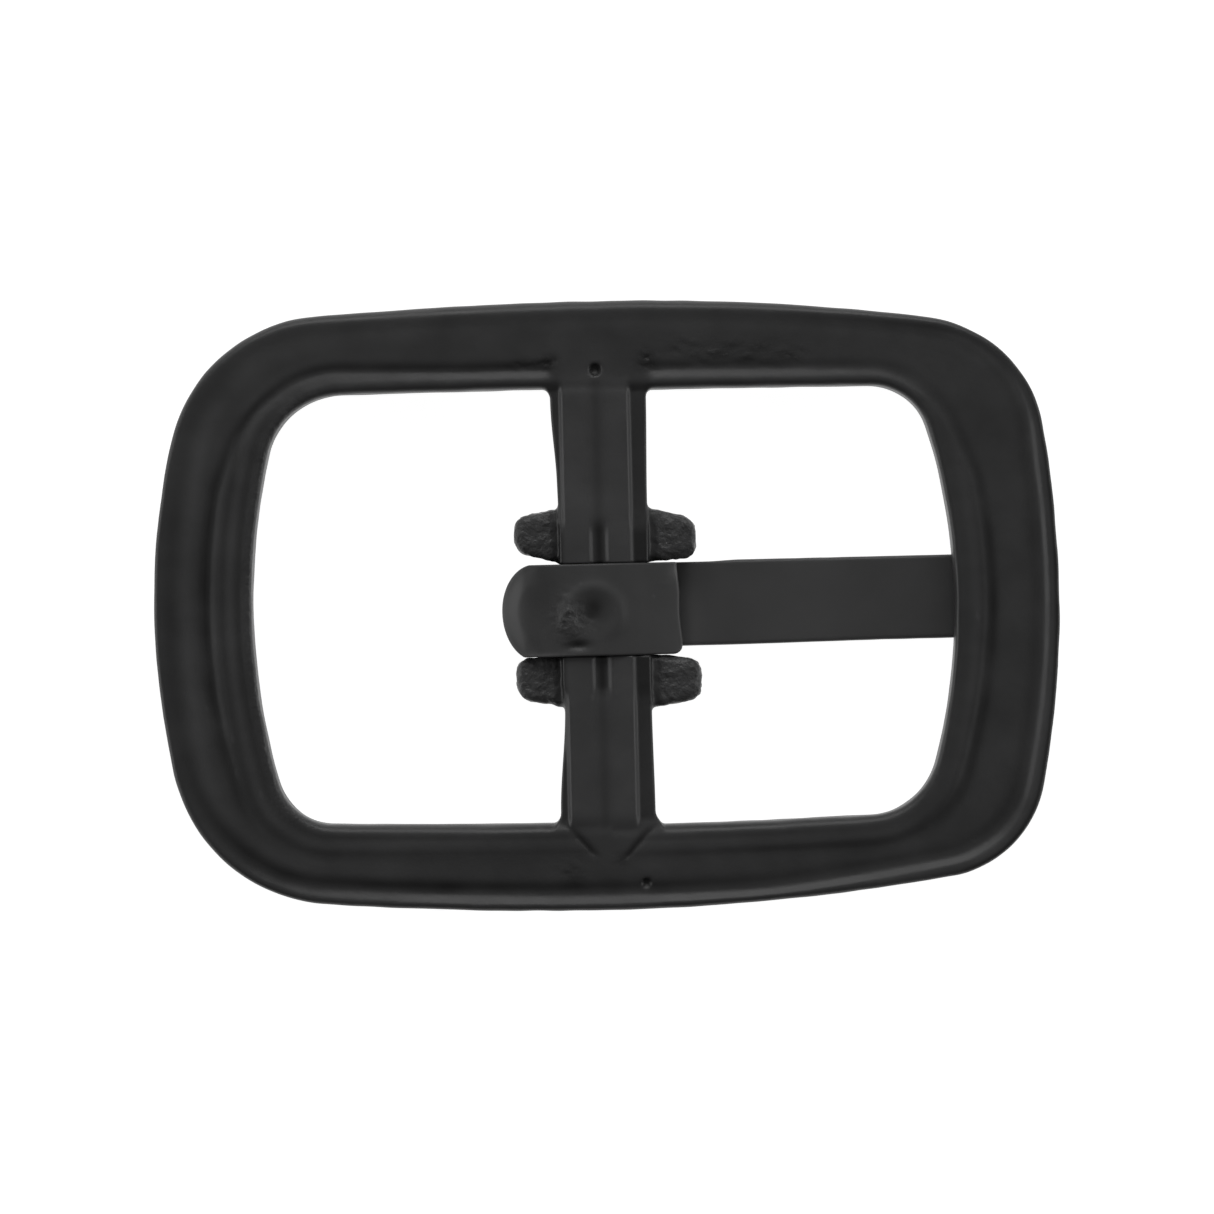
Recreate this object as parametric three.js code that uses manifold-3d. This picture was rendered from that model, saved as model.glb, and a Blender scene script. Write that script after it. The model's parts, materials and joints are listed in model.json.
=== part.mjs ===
// A centre-bar belt buckle that lies on its front: a one-piece cast frame and the prong that swings on its bar.
// Millimetres. +Z points out of the buckle's back, +X towards the prong's tip, and the centre bar runs along Y.
import * as THREE from "three";
import { mergeVertices } from "three/addons/utils/BufferGeometryUtils.js";
import Module from "manifold-3d";

// Strap and rim.
const strapWidth = 25;
const strapPlay = 0.8; // how much wider than the strap the windows are
const overallLength = 53.6;
const sideRail = 5.15; // width of the two long rails
const leftRail = 5.8;
const rightRail = 6.1;
const lipRise = 0.45; // how far the rim's lips stand above the bar's back

// Each half of an outline is an end arc and a side arc, joined by a corner arc that touches both.
const outerLeft = { endRadius: 48, sideRadius: 203, cornerRadius: 9.7 };
const outerRight = { endRadius: 62, sideRadius: 128, cornerRadius: 7.1 };
const windowLeft = { endRadius: 37, sideRadius: 500, cornerRadius: 3.5 };
const windowRight = { endRadius: 37, sideRadius: 440, cornerRadius: 3.4 };
const endSteps = 6;
const cornerSteps = 7;
const sideSteps = 6;

// The rim's section: a lip along each edge of the back, a trough between the lips, and a domed front.
const lipInset = 0.55;
const lipWidth = 0.5;
const lipSlope = 0.8;
const troughDepth = 0.55;
const shoulder = 0.45; // height of the rounding from a lip down to the rim's side
const frontRounding = 1.6; // height of the domed front, and its width on each side of the crest
const frontKnee = 0.55; // where the dome's two facets meet

// Centre bar: two flat crowns with a groove between them, and a round neck where the prong turns.
const barX = -0.1;
const barWidth = 5.3;
const barFlare = 0.35; // extra width where the bar meets the rails
const barThickness = 2.5;
const barEdge = 0.5; // rounding along the bar's edges
const grooveWidth = 0.7;
const grooveDepth = 0.5;
const grooveSlope = 0.3;
const barRoot = 1.2; // how far the bar's ends reach into the long rails
const neckRadius = 0.8;
const barRise = 0.75; // how far the bar's back stands above the neck
const neckRoot = 0.8; // how far the neck reaches into the bar
const barSteps = 8;
const neckSides = 32;

// Lugs: four stubs that stand off the bar and keep the loop in its place along the neck.
const lugLength = 2.75; // past the edge of the bar
const lugRootWidth = 2.85;
const lugTipWidth = 2.35;
const lugTipRadius = 0.95;
const lugThickness = 1.7;
const lugDrop = 0.5; // how far the lugs lie below the bar's back
const tipSteps = 6;

// Prong: a strip whose end is rolled round the neck, with its cut end back on the strip.
const stripThickness = 1.05;
const loopWidth = 5.4;
const tongueNarrowing = 0.42; // how much narrower than the loop the tongue is
const tongueLift = 0.15; // how far the strip lies behind the crest of the rim's front
const loopPlay = 0.4; // how much wider than the loop the gap between the lugs is
const gapCentreY = -0.25; // middle of that gap
const loopSlide = 0.05; // how far the loop has slid along the neck from the middle of the gap
const neckPlay = 0.15; // running clearance round the neck
const loopSetback = 4.1; // from the hinge axis back to the centre of the loop's bend
const leafFlat = 0.2; // how far past the hinge axis the loop's back stays level
const leafKnee = 0.9; // length of the level line that the slope towards the cut end turns away from
const leafReach = 4.3; // from the hinge axis to the cut end
const leafGap = 0.5; // left open between the cut end and the strip
const loopRootReach = 3.6; // where the loop's full width ends on the strip's side
const tipInset = 1.6; // from the rim's right end back to the prong's tip
const tongueEdge = 0.15; // chamfer round the strip
const bendSteps = 12;
const leafSteps = 8;
const tongueTipSteps = 14;

// Notch in the front of the right rail, where the prong's tip rests.
const notchSidePlay = 0.3;
const notchDepthPlay = 0.2;

// Values that follow from the ones above.
const windowHalfHeight = (strapWidth + strapPlay) / 2;
const halfWidth = windowHalfHeight + sideRail;
const reach = overallLength / 2;
const gap = loopWidth + loopPlay;
const loopCentreY = gapCentreY - loopSlide;
const tongueWidth = loopWidth - tongueNarrowing;
const hingeZ = tongueLift + stripThickness + neckPlay + neckRadius;
const barBack = hingeZ + neckRadius + barRise;
const barFront = barBack - barThickness;
const rimHeight = barBack + lipRise;
const bendRadius = neckRadius + neckPlay + stripThickness / 2; // of the strip's middle line
const stripZ = hingeZ - bendRadius; // middle of the strip's thickness
const loopTop = hingeZ + bendRadius;
const tipX = reach - tipInset;

const wasm = await Module();
wasm.setup();

// A closed three.js geometry as a manifold-3d solid.
function solid(geometry) {
  const bare = geometry.clone();
  bare.deleteAttribute("normal");
  bare.deleteAttribute("uv");
  const merged = mergeVertices(bare, 1e-4);
  return new wasm.Manifold(
    new wasm.Mesh({
      numProp: 3,
      vertProperties: new Float32Array(merged.attributes.position.array),
      triVerts: new Uint32Array(merged.index.array),
    }),
  );
}

// A manifold-3d solid as a named three.js mesh.
function piece(name, body, material) {
  const result = body.getMesh();
  const geometry = new THREE.BufferGeometry();
  geometry.setAttribute("position", new THREE.BufferAttribute(result.vertProperties, 3));
  geometry.setIndex(new THREE.BufferAttribute(result.triVerts, 1));
  geometry.computeVertexNormals();
  const mesh = new THREE.Mesh(geometry, material);
  mesh.name = name;
  return mesh;
}

// Points on an arc, from one angle to the other, with both ends.
function arc(centre, radius, from, to, steps) {
  return Array.from({ length: steps + 1 }, (_, i) => {
    const angle = from + ((to - from) * i) / steps;
    return new THREE.Vector2(centre.x + radius * Math.cos(angle), centre.y + radius * Math.sin(angle));
  });
}

// A quarter of an outline, from the X axis round the corner to the Y axis.
function quarterOutline(shape, endReach, sideReach) {
  const endCentre = new THREE.Vector2(endReach - shape.endRadius, 0);
  const sideCentre = new THREE.Vector2(0, sideReach - shape.sideRadius);
  const endDistance = shape.endRadius - shape.cornerRadius;
  const sideDistance = shape.sideRadius - shape.cornerRadius;
  const between = sideCentre.clone().sub(endCentre);
  const span = between.length();
  const along = (span ** 2 + endDistance ** 2 - sideDistance ** 2) / (2 * span);
  const across = Math.sqrt(endDistance ** 2 - along ** 2);
  const unit = between.normalize();
  const cornerCentre = endCentre
    .clone()
    .addScaledVector(unit, along)
    .addScaledVector(new THREE.Vector2(-unit.y, unit.x), across);
  const endAngle = cornerCentre.clone().sub(endCentre).angle();
  const sideAngle = cornerCentre.clone().sub(sideCentre).angle();
  return [
    ...arc(endCentre, shape.endRadius, 0, endAngle, endSteps).slice(0, -1),
    ...arc(cornerCentre, shape.cornerRadius, endAngle, sideAngle, cornerSteps).slice(0, -1),
    ...arc(sideCentre, shape.sideRadius, sideAngle, Math.PI / 2, sideSteps),
  ];
}

// The whole outline, counterclockwise from the right end, as mirrored quarters.
function outline(right, rightReach, left, leftReach, sideReach) {
  const rightQuarter = quarterOutline(right, rightReach, sideReach);
  const leftQuarter = quarterOutline(left, leftReach, sideReach);
  const mirror = (points, x, y) => points.map((p) => new THREE.Vector2(p.x * x, p.y * y));
  return [
    ...mirror(rightQuarter, 1, 1).slice(0, -1),
    ...mirror(leftQuarter, -1, 1).reverse().slice(0, -1),
    ...mirror(leftQuarter, -1, -1).slice(0, -1),
    ...mirror(rightQuarter, 1, -1).reverse().slice(0, -1),
  ];
}

// The rim: one section carried round between the outer outline and the windows' common outline.
function rimBody() {
  const outer = outline(outerRight, reach, outerLeft, reach, halfWidth);
  const inner = outline(windowRight, reach - rightRail, windowLeft, reach - leftRail, windowHalfHeight);
  const lipEnd = lipInset + lipWidth;
  const half = [
    { inset: 0, z: frontRounding },
    { inset: 0, z: rimHeight - 2 * shoulder },
    { inset: lipInset / 3, z: rimHeight - shoulder / 2 },
    { inset: lipInset, z: rimHeight },
    { inset: lipEnd, z: rimHeight },
    { inset: lipEnd + lipSlope, z: rimHeight - troughDepth },
  ];
  const front = [
    { inset: frontRounding, z: 0 },
    { inset: frontKnee, z: frontKnee },
  ];
  const section = [
    ...half.map((p) => ({ ...p, edge: "outer" })),
    ...half.toReversed().map((p) => ({ ...p, edge: "inner" })),
    ...front.toReversed().map((p) => ({ ...p, edge: "inner" })),
    ...front.map((p) => ({ ...p, edge: "outer" })),
  ];
  const positions = outer.flatMap((outerPoint, i) => {
    const across = inner[i].clone().sub(outerPoint).normalize();
    return section.flatMap(({ edge, inset, z }) => {
      const start = edge === "outer" ? outerPoint : inner[i];
      const point = start.clone().addScaledVector(across, edge === "outer" ? inset : -inset);
      return [point.x, point.y, z];
    });
  });
  const stations = outer.length;
  const size = section.length;
  const indices = [];
  for (let i = 0; i < stations; i += 1) {
    for (let j = 0; j < size; j += 1) {
      const a = i * size + j;
      const b = i * size + ((j + 1) % size);
      const c = ((i + 1) % stations) * size + ((j + 1) % size);
      const d = ((i + 1) % stations) * size + j;
      indices.push(a, c, b, a, d, c);
    }
  }
  const geometry = new THREE.BufferGeometry();
  geometry.setAttribute("position", new THREE.Float32BufferAttribute(positions, 3));
  geometry.setIndex(indices);
  return solid(geometry);
}

// A side view in X and Z, extruded along Y.
function extrudeAlongY(points, fromY, toY, steps) {
  const geometry = new THREE.ExtrudeGeometry(new THREE.Shape(points), {
    depth: toY - fromY,
    bevelEnabled: false,
    steps,
  });
  geometry.rotateX(Math.PI / 2);
  geometry.translate(0, toY, 0);
  return geometry;
}

// One half of the bar, from the gap between the lugs into a long rail. It grows wider towards the rail.
function barHalf(fromY, toY) {
  const side = barWidth / 2;
  const bottomOfGroove = grooveWidth / 2 - grooveSlope;
  const half = [
    [side - barEdge, barFront],
    [side, barFront + barEdge],
    [side, barBack - barEdge],
    [side - barEdge, barBack],
    [grooveWidth / 2, barBack],
    [bottomOfGroove, barBack - grooveDepth],
  ];
  const points = [
    ...half.map(([x, z]) => new THREE.Vector2(x, z)),
    ...half.toReversed().map(([x, z]) => new THREE.Vector2(-x, z)),
  ];
  const geometry = extrudeAlongY(points, fromY, toY, barSteps);
  const position = geometry.attributes.position;
  const start = Math.min(Math.abs(fromY), Math.abs(toY));
  const run = windowHalfHeight - start;
  for (let i = 0; i < position.count; i += 1) {
    const share = (Math.abs(position.getY(i)) - start) / run;
    position.setX(i, position.getX(i) * (1 + (barFlare / barWidth) * share ** 2) + barX);
  }
  return solid(geometry);
}

// A pair of lugs as one bar-crossing plate: straight beside the loop, tapered on its far side, round at its ends.
function lugPair(faceY, side) {
  const tipCentre = barWidth / 2 + lugLength - lugTipRadius;
  const corner = (height, from, to) =>
    arc(new THREE.Vector2(tipCentre, height), lugTipRadius, from, to, tipSteps);
  const half = [
    ...corner(lugTipRadius, -Math.PI / 2, 0),
    ...corner(lugTipWidth - lugTipRadius, 0, Math.PI / 2),
    new THREE.Vector2(barWidth / 2, lugRootWidth),
  ];
  const points = [...half, ...half.toReversed().map((p) => new THREE.Vector2(-p.x, p.y))];
  const placed = points.map((p) => new THREE.Vector2(barX + p.x, faceY + side * p.y));
  const geometry = new THREE.ExtrudeGeometry(new THREE.Shape(placed), {
    depth: lugThickness,
    bevelEnabled: false,
  });
  geometry.translate(0, 0, barBack - lugDrop - lugThickness);
  return solid(geometry);
}

function neck(fromY, toY) {
  const geometry = new THREE.CylinderGeometry(neckRadius, neckRadius, toY - fromY, neckSides);
  geometry.translate(barX, (fromY + toY) / 2, hingeZ);
  return solid(geometry);
}

// The break in a long rail's inner lip, through which the bar's back runs level into the trough.
function lipBreak(side) {
  const lipReach = lipInset + lipWidth + lipSlope;
  const geometry = new THREE.BoxGeometry(barWidth + barFlare, 2 * lipReach, 2 * lipRise);
  geometry.translate(barX, side * windowHalfHeight, barBack + lipRise);
  return solid(geometry);
}

// The space that the prong's tip needs in the front of the right rail, open at the rail's end.
function notch() {
  const length = rightRail + tipInset;
  const depth = stripZ + stripThickness / 2 + notchDepthPlay;
  const geometry = new THREE.BoxGeometry(2 * length, tongueWidth + 2 * notchSidePlay, 2 * depth);
  geometry.translate(reach, 0, 0);
  return solid(geometry);
}

function frameBody() {
  const upperFace = gapCentreY + gap / 2;
  const lowerFace = gapCentreY - gap / 2;
  const barEnd = windowHalfHeight + barRoot;
  return rimBody()
    .add(barHalf(upperFace, barEnd))
    .add(barHalf(-barEnd, lowerFace))
    .add(neck(lowerFace - neckRoot, upperFace + neckRoot))
    .add(lugPair(upperFace, 1))
    .add(lugPair(lowerFace, -1))
    .subtract(lipBreak(1))
    .subtract(lipBreak(-1))
    .subtract(notch());
}

// The loop's side view: the strip's middle line goes back under the neck, round the bend and over the neck,
// then comes down towards the strip. The two faces lie half a thickness on each side of it.
function loopOutline() {
  const bendX = barX - loopSetback;
  const leafStart = new THREE.Vector2(barX + leafFlat, loopTop);
  const leafEnd = new THREE.Vector2(barX + leafReach, stripZ + stripThickness + leafGap);
  const knee = new THREE.Vector2(leafStart.x + leafKnee, leafStart.y);
  const leaf = new THREE.QuadraticBezierCurve(leafStart, knee, leafEnd);
  const line = [
    new THREE.Vector2(barX + loopRootReach, stripZ),
    ...arc(new THREE.Vector2(bendX, hingeZ), bendRadius, -Math.PI / 2, (-3 * Math.PI) / 2, bendSteps),
    ...leaf.getPoints(leafSteps),
  ];
  const face = (side) =>
    line.map((point, i) => {
      const before = line[Math.max(i - 1, 0)];
      const after = line[Math.min(i + 1, line.length - 1)];
      const run = after.clone().sub(before).normalize();
      return point.clone().addScaledVector(new THREE.Vector2(-run.y, run.x), (side * stripThickness) / 2);
    });
  return [...face(1), ...face(-1).reverse()];
}

function tongue() {
  const round = tongueWidth / 2 - tongueEdge;
  const tipCentre = new THREE.Vector2(tipX - tongueEdge - round, 0);
  const points = [
    ...arc(tipCentre, round, -Math.PI / 2, Math.PI / 2, tongueTipSteps),
    new THREE.Vector2(barX, round),
    new THREE.Vector2(barX, -round),
  ];
  const geometry = new THREE.ExtrudeGeometry(new THREE.Shape(points), {
    depth: stripThickness - 2 * tongueEdge,
    bevelThickness: tongueEdge,
    bevelSize: tongueEdge,
    bevelSegments: 1,
  });
  geometry.translate(0, 0, stripZ - stripThickness / 2 + tongueEdge);
  return solid(geometry);
}

function prongBody() {
  const fromY = loopCentreY - loopWidth / 2;
  const toY = loopCentreY + loopWidth / 2;
  return solid(extrudeAlongY(loopOutline(), fromY, toY, 1)).add(tongue());
}

const satinBlack = { color: 0x191919, roughness: 0.5, metalness: 0.3 };
const root = new THREE.Group();
root.add(piece("frame", frameBody(), new THREE.MeshStandardMaterial(satinBlack)));
root.add(piece("prong", prongBody(), new THREE.MeshStandardMaterial(satinBlack)));

export default root;
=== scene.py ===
"""A black die-cast centre-bar buckle on a pale floor, seen from its back.

The two pieces are solids given by formulas in millimetres: each is a field, negative inside the metal, that
a mesher turns into quads. Heights are along Z, which points out of the buckle's back.
"""
import json
import math

import bpy
import numpy as np
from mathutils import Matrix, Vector


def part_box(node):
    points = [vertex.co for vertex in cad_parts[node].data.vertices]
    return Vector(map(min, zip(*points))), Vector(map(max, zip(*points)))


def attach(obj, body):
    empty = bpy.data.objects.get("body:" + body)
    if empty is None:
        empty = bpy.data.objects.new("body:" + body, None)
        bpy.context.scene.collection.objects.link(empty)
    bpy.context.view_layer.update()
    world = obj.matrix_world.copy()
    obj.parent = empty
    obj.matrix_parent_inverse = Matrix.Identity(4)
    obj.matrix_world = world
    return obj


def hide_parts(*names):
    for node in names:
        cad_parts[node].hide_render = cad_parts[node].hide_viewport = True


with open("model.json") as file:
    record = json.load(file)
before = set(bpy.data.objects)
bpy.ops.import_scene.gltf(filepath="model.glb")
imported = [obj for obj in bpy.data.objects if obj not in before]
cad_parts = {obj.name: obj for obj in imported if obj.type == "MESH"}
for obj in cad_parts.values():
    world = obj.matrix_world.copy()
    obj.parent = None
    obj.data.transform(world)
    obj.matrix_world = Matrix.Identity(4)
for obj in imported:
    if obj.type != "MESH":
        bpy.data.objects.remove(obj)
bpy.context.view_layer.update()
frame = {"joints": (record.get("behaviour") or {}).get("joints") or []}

MM = 0.001
RNG_SEED = 7


def corners_mm(node):
    low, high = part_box(node)
    return np.array(low) / MM, np.array(high) / MM


# Sizes taken from the frame.
rim_low, rim_high = corners_mm("frame")
prong_low, prong_high = corners_mm("prong")
hinge_x, _, hinge_z = np.array(frame["joints"][0]["pos_m"]) / MM
REACH = rim_high[0]
SIDE_REACH = rim_high[1]
RIM_TOP = rim_high[2]
LOOP_LEFT = prong_low[0]
LOOP_TOP = prong_high[2]
TONGUE_TIP = prong_high[0]
STRIP_FRONT = prong_low[2]

# The rim's sizes.
SIDE_RAIL = 5.15
LEFT_RAIL = 5.8
RIGHT_RAIL = 6.1
WINDOW_SIDE = SIDE_REACH - SIDE_RAIL
TROUGH_DEPTH = 0.55
FLOOR = RIM_TOP - TROUGH_DEPTH
FRONT_ROUND = 1.7

# The bar's sizes.
BAR_LEFT = -2.68
BAR_RIGHT = 2.55
BAR_FLARE = 0.38
FLARE_START = 6.0
BAR_SPREAD = 0.45
CROWN_LEFT = -2.28
CROWN_RIGHT = 1.4
LEDGE_DEPTH = 0.3
LEDGE_LEFT = CROWN_LEFT - 0.34
LEDGE_RIGHT = CROWN_RIGHT + 0.36
GROOVE_LEFT = -1.05
GROOVE_RIGHT = 0.32
GROOVE_SHALLOW = 0.04
GROOVE_DEEPER = 0.16
BAR_DROP = 0.45
BAR_THICKNESS = 2.5
BAR_BACK = RIM_TOP - BAR_DROP
BAR_FRONT = BAR_BACK - BAR_THICKNESS
BAR_FOOT = WINDOW_SIDE - 0.6
BAR_END = WINDOW_SIDE + 1.6
NECK_RADIUS = 0.8
SIDE_PLAY = 0.012

# The prong's sizes.
STRIP = 1.05
LOOP_CENTRE = -0.27
LOOP_HALF = 2.73
GAP_TOP = LOOP_CENTRE + LOOP_HALF + SIDE_PLAY
GAP_BOTTOM = LOOP_CENTRE - LOOP_HALF - SIDE_PLAY
BEND_REACH = 2.6
CUT_REACH = 4.45
CUT_DROP = 1.4
LOOP_SUNK = 0.14
TONGUE_CENTRE = 0.05
TONGUE_HALF = 2.49
TONGUE_ROUND = 0.22
BEND_X = LOOP_LEFT + BEND_REACH
LOOP_LOWER = LOOP_CENTRE - LOOP_HALF


# ---------------------------------------------------------------- fields

def clamp01(value):
    return np.clip(value, 0.0, 1.0)


def smoothstep(low, high, value):
    t = clamp01((value - low) / (high - low))
    return t * t * (3.0 - 2.0 * t)


def bump(value, centre, width):
    return np.exp(-(((value - centre) / width) ** 2))


def marks(x, y, rows):
    """The sum of soft spots, each with its strength, its centre and its widths along X and Y."""
    return sum(
        strength * bump(x, centre[0], widths[0]) * bump(y, centre[1], widths[1])
        for strength, centre, widths in rows
    )


def bands(distance, rows):
    """The sum of soft lines that follow an outline, each with its strength, distance and width."""
    return sum(strength * bump(distance, at, width) for strength, at, width in rows)


def join(a, b, radius):
    """The union of two solids with a concave fillet."""
    h = np.maximum(radius - np.abs(a - b), 0.0) / radius
    return np.minimum(a, b) - h * h * radius * 0.25


def overlap(a, b, radius):
    """The overlap of two solids with its edge rounded."""
    return np.minimum(np.maximum(a, b), -radius) + np.hypot(
        np.maximum(a + radius, 0.0), np.maximum(b + radius, 0.0)
    )


def box_field(x, y, z, low, high, radius):
    """A box with rounded edges."""
    centre = [(a + b) / 2 for a, b in zip(low, high)]
    half = [(b - a) / 2 - radius for a, b in zip(low, high)]
    gaps = [np.abs(v - c) - h for v, c, h in zip((x, y, z), centre, half)]
    outside = np.sqrt(sum(np.maximum(g, 0.0) ** 2 for g in gaps))
    inside = np.minimum(np.maximum(np.maximum(gaps[0], gaps[1]), gaps[2]), 0.0)
    return outside + inside - radius


def wave_set(seed, count, shortest, longest):
    """Random plane waves: their directions, lengths and phases."""
    rng = np.random.default_rng(seed)
    directions = rng.normal(size=(count, 3))
    directions /= np.linalg.norm(directions, axis=1)[:, None]
    lengths = np.exp(rng.uniform(math.log(shortest), math.log(longest), count))
    return directions * (2 * math.pi / lengths)[:, None], rng.uniform(0, 2 * math.pi, count)


def ripple(x, y, z, waves):
    """Smooth noise from about -1 to 1."""
    vectors, phases = waves
    total = sum(
        np.sin(k[0] * x + k[1] * y + k[2] * z + phase) for k, phase in zip(vectors, phases)
    )
    return total / math.sqrt(len(phases) * 2.0)


CAST_WAVES = wave_set(RNG_SEED, 14, 2.2, 7.0)
FLAT_WAVES = wave_set(RNG_SEED + 3, 12, 1.0, 2.4)
GRAIN_WAVES = wave_set(RNG_SEED + 1, 26, 0.42, 1.0)


# ---------------------------------------------------------------- outlines

def quarter_distance(x, y, end_reach, side_reach, end_radius, side_radius, corner_radius):
    """Distance from a quarter outline, negative inside.
    The outline is an end arc, a corner arc and a side arc that touch."""
    end_centre = np.array([end_reach - end_radius, 0.0])
    side_centre = np.array([0.0, side_reach - side_radius])
    end_gap = end_radius - corner_radius
    side_gap = side_radius - corner_radius
    between = side_centre - end_centre
    span = np.linalg.norm(between)
    unit = between / span
    along = (span**2 + end_gap**2 - side_gap**2) / (2 * span)
    across = math.sqrt(end_gap**2 - along**2)
    corner = end_centre + unit * along + np.array([-unit[1], unit[0]]) * across
    end_normal = (corner - end_centre) / end_gap
    side_normal = (corner - side_centre) / side_gap
    dx, dy = x - corner[0], y - corner[1]
    in_corner = (end_normal[0] * dy - end_normal[1] * dx > 0) & (
        dx * side_normal[1] - dy * side_normal[0] > 0
    )
    end = np.hypot(x - end_centre[0], y) - end_radius
    side = np.hypot(x, y - side_centre[1]) - side_radius
    return np.where(in_corner, np.hypot(dx, dy) - corner_radius, np.maximum(end, side))


# Each quarter of the outline and of the windows: radius of the end arc, of the side arc and of the corner.
OUTLINE_ARCS = {
    "upper right": (70.0, 131.0, 7.8),
    "upper left": (43.0, 267.0, 9.5),
    "lower left": (47.0, 200.0, 9.8),
    "lower right": (54.0, 132.0, 6.6),
}
WINDOW_ARCS = {
    "upper right": (36.0, 1170.0, 3.6),
    "upper left": (39.0, 2000.0, 4.6),
    "lower left": (39.0, 500.0, 3.4),
    "lower right": (36.0, 432.0, 4.3),
}


def outline_distance(x, y, reaches, arcs):
    """Distance from a whole outline, put together from its quarters. Negative inside."""
    u, v = np.abs(x), np.abs(y)
    quarters = {
        name: quarter_distance(u, v, *reaches[name], *radii) for name, radii in arcs.items()
    }
    upper = np.where(x > 0, quarters["upper right"], quarters["upper left"])
    lower = np.where(x > 0, quarters["lower right"], quarters["lower left"])
    return np.where(y > 0, upper, lower)


OUTLINE_REACHES = {name: (REACH, SIDE_REACH) for name in OUTLINE_ARCS}
WINDOW_UPPER_RIGHT = WINDOW_SIDE - 0.13
WINDOW_LOWER_RIGHT = WINDOW_SIDE + 0.2
WINDOW_REACHES = {
    "upper right": (REACH - RIGHT_RAIL, WINDOW_UPPER_RIGHT),
    "upper left": (REACH - LEFT_RAIL, WINDOW_SIDE),
    "lower left": (REACH - LEFT_RAIL, WINDOW_SIDE),
    "lower right": (REACH - RIGHT_RAIL, WINDOW_LOWER_RIGHT),
}

# Angles round the rim, from the right rail's middle over the upper rail, at which the profile is given.
STATIONS = (0, 25, 45, 69, 90, 111, 135, 155, 180, 205, 225, 249, 270, 291, 315, 336)


def round_rim(x, y, sizes):
    """A size that changes smoothly round the rim, given at the stations."""
    angle = np.degrees(np.arctan2(y / SIDE_REACH, x / REACH))
    return np.interp(angle, STATIONS, sizes, period=360.0)


# ---------------------------------------------------------------- frame

def fall(distance, crest, foot):
    """1 up to the crest, 0 beyond the foot."""
    return 1.0 - smoothstep(crest, foot, distance)


# The profile at each station. Crests and feet are distances from the outline or from the window, heights and
# creases are up and down from the trough's floor, rounds are edge radii and shades are the strength of the
# painted shade in the creases.
OUTER_CREST = (0.42, 0.42, 0.15, 0.3, 0.35, 0.35, 0.3, 0.3, 0.3, 0.3, 0.15, 0.15, 0.15, 0.2, 0.6, 0.5)
OUTER_FOOT = (1.0, 1.0, 0.7, 0.85, 0.9, 0.9, 0.8, 0.8, 0.8, 0.8, 0.9, 0.95, 0.95, 0.85, 1.25, 1.1)
OUTER_HEIGHT = (0.27, 0.27, 0.14, 0.03, 0.0, 0.0, 0.0, 0.0, 0.0, 0.0, 0.16, 0.28, 0.28, 0.26, 0.27, 0.27)
OUTER_CREASE = (0.06, 0.06, 0.05, 0.04, 0.03, 0.03, 0.02, 0.0, 0.0, 0.02, 0.1, 0.12, 0.1, 0.07, 0.06, 0.06)
INNER_CREST = (1.5, 1.5, 0.3, 0.3, 0.3, 0.3, 0.5, 1.85, 1.9, 1.85, 1.4, 1.5, 1.5, 1.35, 1.2, 1.3)
INNER_FOOT = (1.95, 1.95, 1.0, 1.1, 1.1, 1.1, 1.4, 2.5, 2.55, 2.5, 2.0, 2.1, 2.1, 1.9, 1.75, 1.85)
INNER_HEIGHT = (0.07, 0.07, 0.12, 0.18, 0.18, 0.18, 0.15, 0.1, 0.11, 0.1, 0.07, 0.05, 0.05, 0.08, 0.12, 0.1)
INNER_CREASE = (0.06, 0.06, 0.04, 0.07, 0.08, 0.08, 0.08, 0.1, 0.11, 0.1, 0.05, 0.02, 0.02, 0.03, 0.07, 0.07)
LINE_DEPTH = (0.0, 0.0, 0.0, 0.0, 0.0, 0.0, 0.02, 0.06, 0.07, 0.06, 0.04, 0.05, 0.05, 0.04, 0.0, 0.0)
MOUND = (0.0, 0.0, 0.0, 0.0, 0.0, 0.0, 0.05, 0.12, 0.14, 0.12, 0.06, 0.0, 0.0, 0.0, 0.0, 0.0)
OUTER_ROUND = (0.2, 0.2, 0.4, 0.65, 0.7, 0.7, 0.5, 0.25, 0.2, 0.25, 0.35, 0.4, 0.4, 0.4, 0.3, 0.2)
OUTER_SHADE = (0.2, 0.25, 0.2, 0.0, 0.0, 0.0, 0.0, 0.0, 0.0, 0.0, 0.6, 1.0, 0.8, 0.3, 0.3, 0.25)
INNER_SHADE = (0.85, 0.6, 0.1, 0.35, 0.45, 0.8, 0.6, 0.75, 0.85, 0.75, 0.4, 0.2, 0.15, 0.2, 0.6, 0.85)
WINDOW_ROUND = (0.3, 0.3, 0.45, 0.5, 0.5, 0.5, 0.45, 0.3, 0.25, 0.3, 0.6, 0.8, 0.8, 0.75, 0.5, 0.3)


# The slanted creases at the bar's lower end: where they start, how steep they are and how far they run.
SLANT_LEFT = -2.65
SLANT_RIGHT = 2.45
SLANT_STEEPNESS = 0.85
SLANT_RUN = 2.2
SLANT_DEPTH = 0.14
SLANT_WIDTH = 0.24

# The left rail's mound, from the outline, and the fine lines along its inner lip, from the window.
MOUND_AT = 1.9
MOUND_WIDTH = 0.95
SHOULDER = 1.3
LIP_LINES = ((1.0, 0.85, 0.25), (0.5, 1.75, 0.2))


def slant(x, from_window):
    """Distance across the slanted creases that run in from the bar's sides, as its lower end narrows."""
    return np.maximum(SLANT_LEFT - x, x - SLANT_RIGHT) + SLANT_STEEPNESS * from_window


def slant_share(y, from_window):
    """1 along the slanted creases, 0 where they end."""
    in_window = smoothstep(-0.2, 0.2, from_window)
    return (y < 0) * in_window * smoothstep(SLANT_RUN, SLANT_RUN - 0.6, from_window)


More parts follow.
